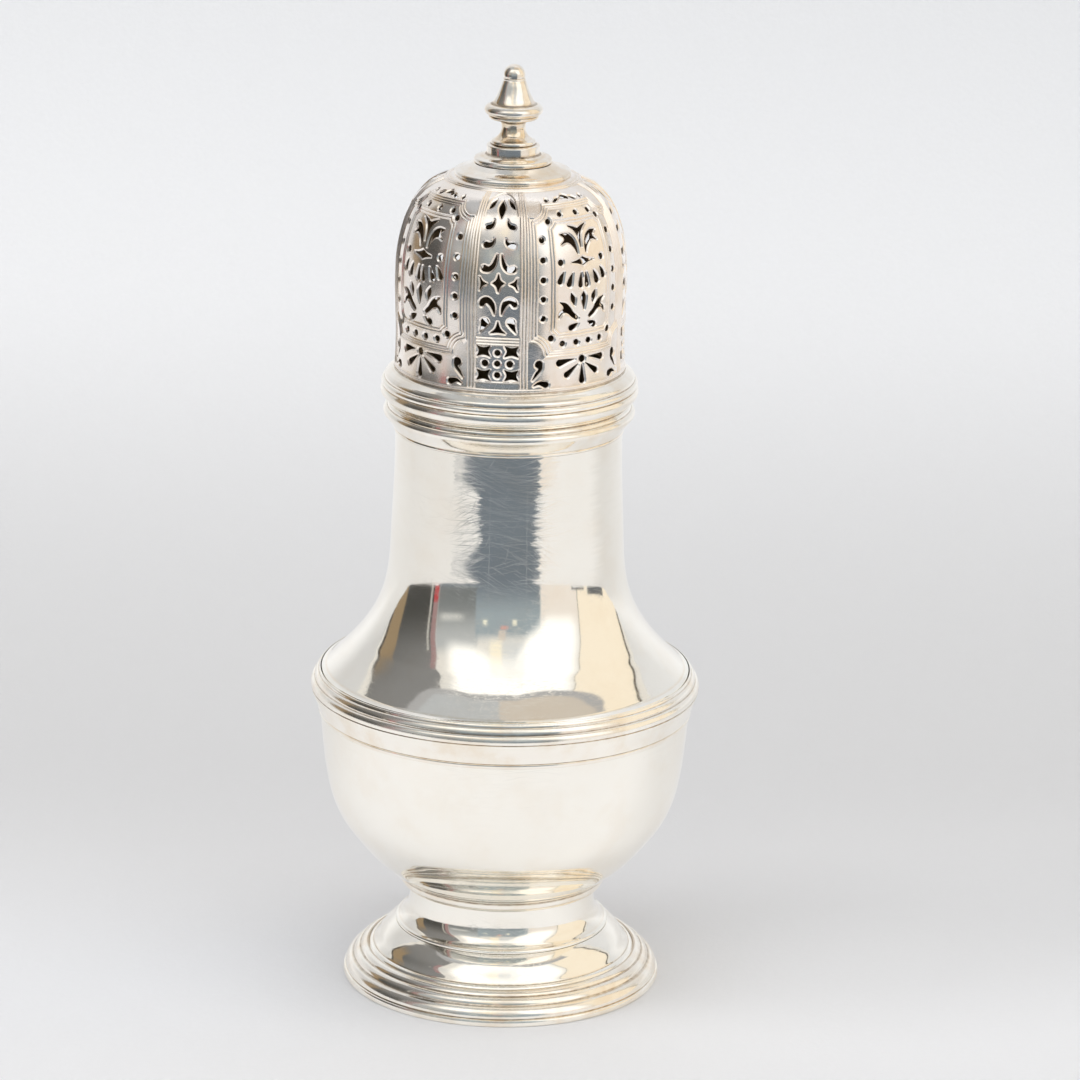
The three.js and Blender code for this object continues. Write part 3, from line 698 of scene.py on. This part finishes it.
def notched_frame(half, low, high, low_centre, high_centre, reach):
    """One line of a frame whose four corners are hollow quarter rounds."""
    arcs = []
    for (cu, cv), edge, way in ((low_centre, low, 1), (high_centre, high, -1)):
        start = math.atan2(math.sqrt(reach**2 - (cu - half)**2), half - cu)
        turn = math.atan2((edge - cv) * way, -math.sqrt(reach**2 - (edge - cv)**2)) % math.tau - start
        angles = [start + turn * k / 8 for k in range(9)]
        arcs.append([(cu + reach * math.cos(a), cv + way * reach * math.sin(a)) for a in angles])
    side = arcs[0][::-1] + arcs[1]
    other = [(-u, v) for u, v in side[::-1]]
    return side + other + side[:1]


def ring_lines(half):
    """The lines that run round the dome at its foot and its crown."""
    return [[(-half, v), (half, v)] for v in RING_LINES]


def narrow_lines():
    """The cut lines of a narrow panel: its frame, the sills over and under the rosettes, and the arch."""
    lines = ring_lines(NARROW_HALF)
    for u in (4.2, 4.8, 5.4):
        lines += [[(u, 1.2), (u, 38.4)], [(-u, 1.2), (-u, 38.4)]]
    lines += [[(-3.95, v), (3.95, v)] for v in (2.05, 9.05, 9.6, 10.15)]
    arch = flowing([(3.75, 32.6), (3.6, 34.4), (3.0, 36.3), (2.2, 37.3), (1.1, 38.0), (0, 38.45)], 3)
    lines.append(arch + [(-u, v) for u, v in arch[::-1]][1:])
    return lines


def wide_lines():
    """The cut lines of a wide panel: a frame of three lines, and one of two inside it."""
    lines = ring_lines(WIDE_HALF)
    for half, low, high, reach in ((10.7, 6.7, 35.0, 2.7), (10.1, 7.2, 34.45, 3.3), (9.5, 7.6, 34.0, 3.85)):
        lines.append(notched_frame(half, low, high, (10.6, 7.0), (9.9, 35.0), reach))
    for half, low, high, reach in ((6.7, 10.2, 31.6, 1.1), (6.1, 10.8, 31.05, 1.65)):
        lines.append(notched_frame(half, low, high, (6.75, 10.1), (6.65, 31.6), reach))
    return lines


def pieces_of(lines, closed):
    """The single straight bits of some lines."""
    bits = []
    for line in lines:
        bits += list(zip(line, line[1:] + line[:1])) if closed else list(zip(line, line[1:]))
    return np.array(bits, dtype=float)


def nearest(points, bits):
    """How far each point is from the nearest bit of line."""
    a, along = bits[:, 0], bits[:, 1] - bits[:, 0]
    size = np.maximum((along**2).sum(1), 1e-12)
    out = np.empty(len(points))
    for start in range(0, len(points), 600):
        p = points[start:start + 600, None, :]
        t = np.clip(((p - a) * along).sum(2) / size, 0, 1)
        out[start:start + 600] = np.sqrt((((p - a) - t[..., None] * along)**2).sum(2)).min(1)
    return out


def counter_clockwise(ring):
    area = sum(a[0] * b[1] - b[0] * a[1] for a, b in zip(ring, ring[1:] + ring[:1]))
    return ring if area > 0 else ring[::-1]


def beside(line, distance, closed):
    """The line moved to one side, with a small fan of points round each sharp corner."""
    n = len(line)
    out = []
    for i in range(n):
        if closed:
            before, after = line[i - 1], line[(i + 1) % n]
        else:
            before, after = line[max(i - 1, 0)], line[min(i + 1, n - 1)]
        p = Vector(line[i])
        a = (p - Vector(before)) if before != line[i] else Vector(after) - p
        b = (Vector(after) - p) if after != line[i] else p - Vector(before)
        start = math.atan2(-a.x, a.y)
        turn = (math.atan2(-b.x, b.y) - start + math.pi) % math.tau - math.pi
        parts = max(1, round(abs(turn) / 0.6)) if turn * distance > 0 else 1
        for k in range(parts + 1) if parts > 1 else (0.5,):
            angle = start + turn * k / parts
            reach = distance / max(math.cos(turn / 2), 0.5) if parts == 1 else distance
            out.append((p.x + reach * math.cos(angle), p.y + reach * math.sin(angle)))
    return out


class Drawing:
    """Points and edges gathered for one flat plate."""

    def __init__(self):
        self.points, self.edges, self.faces = [], [], []

    def add(self, line, chain=True):
        first = len(self.points)
        self.points += line
        if chain:
            ids = range(first, len(self.points))
            self.edges += list(zip(ids, ids[1:]))

    def triangles(self):
        """The plate without its cuts: places, triangles, and where each point of the drawing came to lie."""
        found = delaunay_2d_cdt([Vector(p) for p in self.points], self.edges, self.faces, 0, 1e-5)
        places = np.array([tuple(p) for p in found[0]])
        kept = [tuple(f) for f, origin in zip(found[2], found[5]) if not origin]
        index = {}
        for new, olds in enumerate(found[3]):
            for old in olds:
                index[old] = new
        return places, kept, index


def rows(half, levels, spacing):
    """Rows of points across a panel, one at each of the levels."""
    places = np.linspace(-half, half, max(3, round(2 * half / spacing)) + 1)
    return [(float(u), v) for v in levels for u in places]


def draw_chamfers(drawing, cuts, cut_bits, half):
    """The inner edge of the chamfer round each cut, left out where it comes too near another cut."""
    for ring in cuts:
        edge = np.array(beside(ring, CHAMFER, True))
        far = nearest(edge, cut_bits) > CHAMFER * 0.93
        far &= np.abs(edge[:, 0]) < half - 0.1
        for i in range(len(edge)):
            if far[i]:
                drawing.add([tuple(edge[i].tolist())], chain=False)
                if far[(i + 1) % len(edge)]:
                    drawing.edges.append((len(drawing.points) - 1, len(drawing.points)))
        if far[0] and far[-1]:
            drawing.edges.pop()


def plate(half, cuts, lines):
    """Both faces of a panel laid flat, and the edges of its cuts on each."""
    cuts = [beside(counter_clockwise(ring), FILED, True) for ring in cuts]
    cut_bits = pieces_of(cuts, True)
    line_bits = pieces_of(lines, False)
    faces = []
    for front in (True, False):
        drawing = Drawing()
        for ring in cuts:
            first = len(drawing.points)
            drawing.points += ring
            drawing.faces.append(list(range(first, len(drawing.points))))
        if front:
            ups = sorted({round(v + d, 3) for v in RING_LINES for d in (-LINE_HALF, 0, LINE_HALF)}
                         | {round(v, 3) for v in np.arange(1.6, 38.4, FINE_GRID)} | {0.0, TOP_V, *CROWN_ROWS})
            inner_rows = rows(half, [v for v in ups if FIRST_ROW < v < LAST_ROW], FINE_GRID) \
                + rows(half, CROWN_ROWS, COARSE_GRID)
        else:
            ups = [0.0] + [float(v) for v in np.linspace(2, CROWN_ROWS[0], 20)] + [*CROWN_ROWS[1:], TOP_V]
            inner_rows = rows(half, [v for v in ups if 0 < v < TOP_V], COARSE_GRID)
        for u in (-half, half):
            drawing.add([(u, v) for v in ups])
        drawing.add(rows(half, [0.0], FINE_GRID))
        drawing.add(rows(half, [TOP_V], COARSE_GRID))
        grid = np.array([p for p in inner_rows if abs(p[0]) < half - 0.2])
        clear = nearest(grid, cut_bits) > (CHAMFER + 0.2 if front else 0.5)
        if front:
            clear &= nearest(grid, line_bits) > LINE_HALF + 0.2
        drawing.add([tuple(p) for p in grid[clear].tolist()], chain=False)
        if front:
            draw_chamfers(drawing, cuts, cut_bits, half)
            for line in lines:
                whole = evened(line, 0.6)
                for d in (-LINE_HALF, 0, LINE_HALF):
                    drawing.add(beside(whole, d, False) if d else whole)
        places, kept, index = drawing.triangles()
        inside = np.abs(places[:, 0]) <= half + 1e-6
        kept = [f for f in kept if all(inside[i] for i in f)]
        if front:
            bevel = np.clip(1 - nearest(places, cut_bits) / CHAMFER, 0, 1)
            ridge = np.clip(1 - nearest(places, line_bits) / LINE_HALF, 0, 1)
            out = -CHAMFER_DEPTH * bevel + LINE_HEIGHT * ridge * (1 - bevel)
            beside_line = nearest(places, line_bits) < LINE_HALF + 0.03
            lined = np.where(beside_line, (1 + LINE_GROOVE) * ridge - LINE_GROOVE, 0.0)
            relief = np.where(bevel > 0.05, 0.8, lined)
        else:
            out = np.full(len(places), -SKIN_WALL)
            relief = np.zeros(len(places))
        faces.append((np.column_stack([places, out]), kept, relief,
                      [[index[i] for i in ring] for ring in drawing.faces]))
    return faces


def edge_run(flat, v):
    """The points along the bottom or top edge of a plate, in order."""
    ids = np.nonzero(np.abs(flat[:, 1] - v) < 1e-5)[0]
    return ids[np.argsort(flat[ids, 0])].tolist()


def pierced_dome():
    """Four narrow and four wide panels on the dome, with a wall between their faces at every edge."""
    bm = bmesh.new()
    relief_layer, inside_layer = (bm.verts.layers.float.new(name) for name in ("relief", "inside"))
    narrow = plate(NARROW_HALF, narrow_cuts(), narrow_lines())
    wide = plate(WIDE_HALF, wide_cuts(), wide_lines())
    for k in range(4):
        for (front, back), middle in ((narrow, k * math.pi / 2), (wide, k * math.pi / 2 + math.pi / 4)):
            sides = []
            # the inner face, and the walls of the cuts towards it, are darkened with painted shade and tarnish
            for (flat, triangles, relief, rings), inside in ((front, 0.0), (back, 1.0)):
                verts = []
                for p, value in zip(on_dome(flat, NARROW_FACES + middle), relief):
                    v = bm.verts.new(p)
                    v[relief_layer], v[inside_layer] = value, inside
                    verts.append(v)
                for f in triangles:
                    bm.faces.new([verts[i] for i in (f if inside == 0 else f[::-1])])
                sides.append((verts, rings, flat))
            (outer, outer_rings, outer_flat), (inner, inner_rings, inner_flat) = sides
            runs = [(a + a[:1], b + b[:1]) for a, b in zip(outer_rings, inner_rings)]
            runs += [(edge_run(outer_flat, v), edge_run(inner_flat, v)) for v in (0.0, TOP_V)]
            for a, b in runs:
                for i, j, m, n in zip(a, a[1:], b[1:], b):
                    bm.faces.new((outer[i], outer[j], inner[m], inner[n]))
    bmesh.ops.remove_doubles(bm, verts=bm.verts, dist=4e-6)
    bmesh.ops.recalc_face_normals(bm, faces=bm.faces)
    return bm


# The edge threshold is finer here, so that the chamfers and cut lines stay crisp
finished("dome", pierced_dome(), "cover", "pierced_dome", pierced, crease=22)

plate_line = joined(
    [(10.45, 154.76)], bead((10.62, 154.8), (10.42, 155.62), 0.14), [(10.2, 155.68)],
    flowing([(10.1, 155.7), (9.3, 155.86), (8.4, 156.22), (7.7, 156.65), (7.2, 156.98)], 5),
    [(1.62, 157.0), (1.62, 156.46), (6, 156.02), (10.3, 154.88)])
turned_piece("crown_calotte", plate_line, "cover", "crown_plate", cast)

finial_line = joined(
    [(0, 154.6), (1.45, 154.6), (1.45, 157.03), (6.85, 157.03)], bead((7.0, 157.1), (6.95, 157.9), 0.14, 7),
    [(6.7, 158.02)], flowing([(6.4, 158.05), (5.6, 158.22), (5.0, 158.6)], 4),
    [(4.85, 158.72), (4.85, 160.05)], bead((4.85, 160.1), (4.6, 160.35), 0.05, 4), [(4.2, 160.38)],
    bead((4.02, 160.45), (3.95, 161.1), 0.1, 6), [(3.7, 161.22)],
    flowing([(3.4, 161.35), (2.75, 161.9), (2.36, 162.5), (2.18, 163.3), (2.25, 164.1), (2.5, 164.7),
             (3.1, 165.02)], 4),
    bead((4.3, 165.1), (4.5, 165.7), 0.14, 6), [(4.62, 165.78)],
    flowing([(4.7, 165.82), (5.12, 166.15), (5.33, 166.65), (5.2, 167.15), (4.75, 167.6), (4.25, 167.74)], 5),
    flowing([(4.15, 167.78), (3.8, 168.1), (3.4, 168.8), (3.0, 169.6), (2.65, 170.5), (2.33, 171.4),
             (2.05, 172.1)], 4),
    bead((2.02, 172.15), (1.98, 172.5), 0.07, 5), [(1.8, 172.6)],
    [(1.98 * math.cos(a), 173.02 + 1.98 * math.sin(a)) for a in np.radians(np.linspace(-14, 89, 13))],
    [(0, 175.0)])
turned_piece("cast_finial", finial_line, "cover", "finial", cast, closed=False, steps=96)

# STUDIO

CAMERA_PLACE = (0.0061, -0.900, 0.355)
CAMERA_LENS = 168.6
PITCH = math.radians(16.68)
LEAN = math.radians(1.0)

camera_data = bpy.data.cameras.new("camera")
camera_data.lens = CAMERA_LENS
camera_data.clip_start = 0.01
camera_data.clip_end = 50
camera = shown("camera", camera_data)
bpy.context.scene.camera = camera
ahead = Vector((0, math.cos(PITCH), -math.sin(PITCH)))
above = Vector((0, math.sin(PITCH), math.cos(PITCH)))
across = Vector((1, 0, 0))
right = across * math.cos(LEAN) + above * math.sin(LEAN)
up = above * math.cos(LEAN) - across * math.sin(LEAN)
camera.matrix_world = Matrix.Translation(CAMERA_PLACE) @ Matrix((right, up, -ahead)).transposed().to_4x4()


def softbox(name, at, towards, size, power, tint=(1, 1, 1)):
    """A lamp that lights the paper. What the silver mirrors is the room."""
    data = bpy.data.lights.new(name, "AREA")
    data.shape = "RECTANGLE"
    data.size, data.size_y = size
    data.energy = power
    data.color = tint
    lamp = shown(name, data)
    lamp.location = at
    lamp.rotation_euler = (Vector(towards) - Vector(at)).to_track_quat("-Z", "Y").to_euler()
    lamp.visible_camera = False
    lamp.visible_glossy = False


softbox("front ceiling light", (-0.05, -0.35, 0.5), (0, -0.3, 0.0), (0.8, 0.4), 0.3, (1, 0.99, 0.965))
softbox("left window", (-1.3, -0.3, 1.0), (0, 0.1, 0.0), (0.6, 0.6), 6.0, (1, 0.985, 0.97))
softbox("backdrop light", (0.1, -0.2, 1.6), (0.0, 0.75, 0.3), (1.4, 0.5), 6.5)


def room():
    """The room that the silver mirrors, by the angle to a side of the camera and the rise over the table."""
    world = bpy.data.worlds.new("room")
    bpy.context.scene.world = world
    world.use_nodes = True
    tree = world.node_tree
    x, y, z = split(tree, vectors(tree, "NORMALIZE", node_of(tree, "TexCoord").outputs["Generated"]))
    side = times(tree, maths(tree, "ARCTAN2", x, times(tree, y, -1.0)), 180 / math.pi)
    rise = times(tree, maths(tree, "ARCSINE", z), 180 / math.pi)

    def span(value, low, high, soft):
        return times(tree, eased(tree, value, low - soft, low + soft),
                     less(tree, 1.0, eased(tree, value, high - soft, high + soft)))

    def patch(sides, rises, soft, soft_rise):
        return times(tree, span(side, *sides, soft), span(rise, *rises, soft_rise))

    def laid(over, mask, tone):
        return mixed(tree, mask, over, (*tone, 1) if isinstance(tone, tuple) else tone)

    def painted(over, *patches):
        """Patches laid one after another. Each has its sides, its rises, how soft both are, and its colour."""
        for *place, tone in patches:
            over = laid(over, patch(*place), tone)
        return over

    def stepped(value, *stops):
        """A limit that changes with the value, through [value, limit] stops."""
        total = stops[0][1]
        for (v0, s0), (v1, s1) in zip(stops, stops[1:]):
            total = plus(tree, total, eased(tree, value, v0, v1, 0.0, s1 - s0, "LINEAR"))
        return total

    def by_rise(low, high, first, second):
        return mixed(tree, eased(tree, rise, low, high), (*first, 1), (*second, 1))

    walls = by_rise(-10, 50, (0.8, 0.79, 0.76), (0.8, 0.78, 0.74))
    tone = painted(
        walls,
        # the dark doorway at the left
        ((-120, -66), (-60, 62), 0.6, 6, by_rise(0, 50, (0.075, 0.075, 0.072), (0.24, 0.24, 0.24))),
        ((-119, -106), (-60, 30), 1.0, 8, (0.32, 0.24, 0.15)),
        ((-121, -119), (-60, 30), 0.4, 8, (0.06, 0.05, 0.04)),
        ((-75, -73), (-60, 34), 0.4, 0.4, (0.5, 0.49, 0.46)),
        ((-71, -66), (-60, 44), 0.4, 3, by_rise(-1.5, 0.5, (0.5, 0.08, 0.085), (0.36, 0.24, 0.24))),
        # the window wall between it and the front
        ((-66, -26), (-60, 36), 1.5, 7, by_rise(-6, 30, (0.19, 0.205, 0.21), (0.48, 0.5, 0.51))),
        ((-62, -40), (8, 13), 5, 2.5, (0.6, 0.61, 0.6)))
    front = maths(tree, "MAXIMUM", patch((-28, 33), (-60, 27), 1.2, 5), patch((-67, 33), (-60, -8), 1.2, 1.0))
    tone = painted(
        laid(tone, front, by_rise(-14, 9, (0.165, 0.195, 0.23), (0.34, 0.4, 0.44))),
        # small things before the front
        ((-21, -17), (12, 17), 1.3, 1.3, (0.85, 0.85, 0.72)),
        ((7, 11), (12, 17), 1.3, 1.3, (0.85, 0.84, 0.72)),
        ((-4, 3), (17.5, 20), 1.3, 1.3, (0.75, 0.38, 0.32)),
        ((-6, 1), (21, 30), 1.3, 1.3, (0.66, 0.6, 0.54)),
        # the cream wall at the right, with a doorway in it
        ((34, 72), (-60, 14), 0.8, 7, (0.86, 0.8, 0.74)),
        ((72, 118), (-60, 64), 0.4, 5, (0.97, 0.875, 0.725)),
        ((71, 72), (-60, 60), 0.35, 3, (0.45, 0.42, 0.36)),
        ((118, 119.7), (-60, 50), 0.35, 3, (0.1, 0.085, 0.065)),
        ((84, 104), (-8.6, -5), 0.5, 0.5, (0.13, 0.14, 0.15)),
        ((66, 80), (-8.4, -7.2), 0.4, 0.4, (0.2, 0.2, 0.2)),
        # a warm and a grey upright before the ceiling light
        ((-14, -2), (30, 70), 2, 4, (1.0, 0.93, 0.76)),
        ((-2, 20), (30, 70), 2, 4, (0.7, 0.72, 0.73)))
    # the ceiling light and its glow on the walls
    foot = stepped(side, (-58, 31.0), (-30, 35.0), (-12, 47.0), (10, 46.0), (22, 26.0), (40, 11.0))
    glow = times(tree, eased(tree, less(tree, rise, foot), -8, 8), span(side, -53, 67, 7))
    uprights = times(tree, patch((-14, 20), (-60, 60), 4, 6), -0.35)
    tone = laid(tone, times(tree, glow, plus(tree, uprights, 1.0)), (1.25, 1.25, 1.22))
    # the ceiling behind it, grey at the left and taupe at the right, with a grey beam along its near side
    beam = stepped(side, (-75, 54.0), (-56, 59.0), (-38, 64.5), (-10, 66.8), (14, 66.3), (71, 55.5), (98, 51.0))
    over = less(tree, rise, beam)
    near = times(tree, eased(tree, over, -0.6, 0.6), span(side, -300, 98, 1.0))
    far = times(tree, eased(tree, over, 3.4, 4.6), span(side, -300, 96, 1.0))
    ceiling = mixed(tree, eased(tree, side, -9, -5), (0.5, 0.52, 0.54, 1), (0.62, 0.56, 0.49, 1))
    tone = laid(laid(tone, near, (0.43, 0.43, 0.44)), far, ceiling)
    feed(tree, tree.nodes["Background"].inputs["Color"], tone)


room()


def paper():
    """Pale paper with a fine grain, with painted shade that makes it a little darker where it lies behind the
    caster and far out at its left, and painted light on its upright part.
    """
    material, tree, shader, place = material_of("pale paper")
    grain = noise_of(tree, place, 900.0, 3.0, 0.6)
    x, y, z = split(tree, place)
    # painted shade: the floor behind the caster, as if in its shadow and farther from the lights, and the far
    # left of the paper
    floor_shade = times(tree, eased(tree, y, -0.03, 0.13), less(tree, 1.0, eased(tree, z, 0.0, 0.07)))
    shaded = maths(tree, "MAXIMUM", floor_shade, eased(tree, x, -0.15, -0.36))
    # painted light: the upright part of the paper is lighter, as if it faced the lights
    colour = mixed(tree, eased(tree, z, 0.01, 0.09), (0.765, 0.772, 0.8, 1), (0.83, 0.84, 0.87, 1))
    colour = mixed(tree, shaded, colour, (0.62, 0.623, 0.64, 1))
    colour = mixed(tree, times(tree, grain, 0.12), colour, (0.6, 0.6, 0.605, 1))
    feed(tree, shader.inputs["Base Color"], colour)
    feed(tree, shader.inputs["Normal"], bumped(tree, grain, 0.35, 0.0002))
    shader.inputs["Roughness"].default_value = 0.85
    # painted glow: the paper gives off a little light of its own, but only in what the silver mirrors; it is no
    # lamp
    shader.inputs["Emission Color"].default_value = (1.0, 0.985, 0.96, 1)
    glow_in_silver = node_of(tree, "LightPath").outputs["Is Glossy Ray"]
    feed(tree, shader.inputs["Emission Strength"], times(tree, glow_in_silver, 0.09))
    return material


def sweep():
    """The paper that the caster stands on: flat, its far end curved up, and two corners that reach forward."""
    half_width, front, bend_start, bend = 0.56, -0.24, 0.1, 0.23
    bm = bmesh.new()
    line = [(front, 0.0), (0.0, 0.0)]
    line += [(bend_start + bend * math.sin(a), bend - bend * math.cos(a))
             for a in np.radians(np.linspace(0, 84, 24))]
    line.append((line[-1][0] + 0.12, line[-1][1] + 1.4))
    verts = [bm.verts.new((-half_width, y, z)) for y, z in line]
    edges = [bm.edges.new(pair) for pair in zip(verts, verts[1:])]
    made = bmesh.ops.extrude_edge_only(bm, edges=edges)["geom"]
    bmesh.ops.translate(bm, verts=[v for v in made if isinstance(v, bmesh.types.BMVert)],
                        vec=(2 * half_width, 0, 0))
    tip = [(0.247, -0.335), (0.196, -0.425), (0.245, -0.43), (0.375, -0.375), (0.476, -0.275), (0.52, front)]
    for way, root in ((-1, [(0.325, front), (0.29, -0.275)]), (1, [(0.3, front)])):
        bm.faces.new([bm.verts.new((x * way, y, 0.0)) for x, y in (root + tip)[::way]])
    shown("paper sweep", mesh_of("paper sweep", bm, paper()))


sweep()
